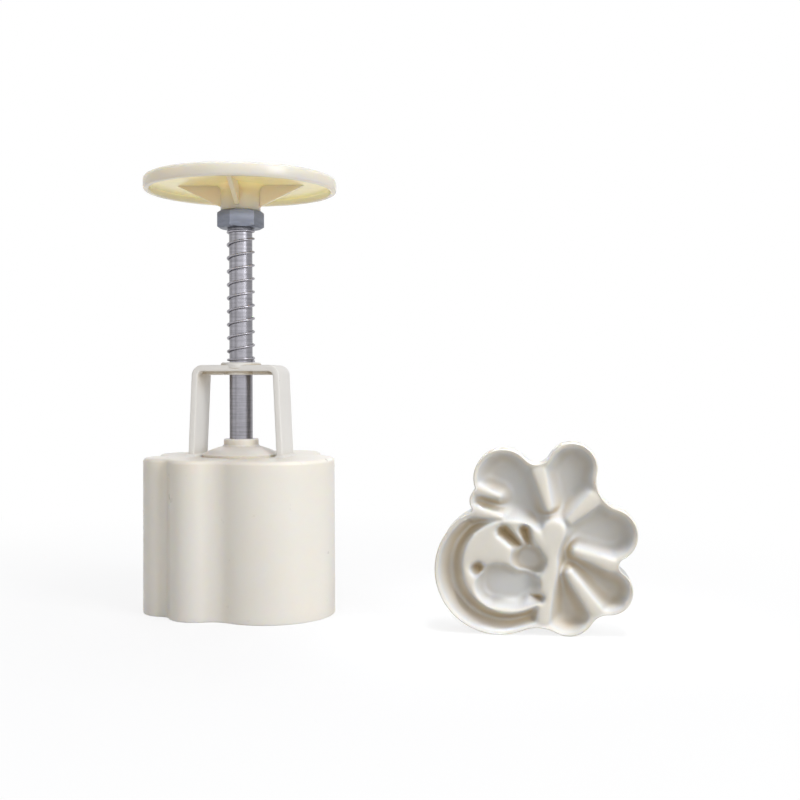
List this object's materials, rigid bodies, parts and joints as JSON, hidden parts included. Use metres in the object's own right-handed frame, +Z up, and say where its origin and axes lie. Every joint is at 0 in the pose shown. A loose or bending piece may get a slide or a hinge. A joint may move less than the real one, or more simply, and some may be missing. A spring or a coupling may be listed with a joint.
{
  "type": "mooncake press",
  "caption": "Sprung hand press for mooncakes: a lobed barrel and yoke, a plunger on a rod with a round palm handle, and its loose moulded stamp plate.",
  "frame": {"origin": "the rod's axis at the barrel's open mouth, on the surface that the press stands on", "axes": "+Z up along the rod towards the handle, X through the yoke's two legs, towards the stamp plate that stands beside the press"},
  "size_m": [0.1681, 0.0693, 0.1503],
  "materials": {
    "cream_plastic": "semi-gloss",
    "handle_plastic": "semi-gloss",
    "stamp_plastic": "semi-gloss",
    "rod_steel": "satin",
    "spring_steel": "satin",
    "zinc_steel": "zinc plated"
  },
  "bodies": {
    "barrel": {"barrel": "cream_plastic", "yoke": "cream_plastic", "spring": "spring_steel"},
    "plunger": {"plunger": "cream_plastic", "rod": "rod_steel", "plunger_washer": "zinc_steel", "plunger_nut": "zinc_steel", "lock_nut": "zinc_steel", "handle": "handle_plastic"},
    "stamp": {"stamp": "stamp_plastic"}
  },
  "joints": [
    {"name": "plunger_slide", "type": "slide", "parent": "barrel", "child": "plunger", "axis": [0, 0, -1], "range_m": [0, 0.034], "stiffness_N_per_m": 900, "springref_m": -0.008, "deforming": ["spring"]},
    {"name": "stamp_lift", "type": "slide", "parent": "barrel", "child": "stamp", "axis": [0, 0, 1], "range_m": [0, 0.04]}
  ]
}
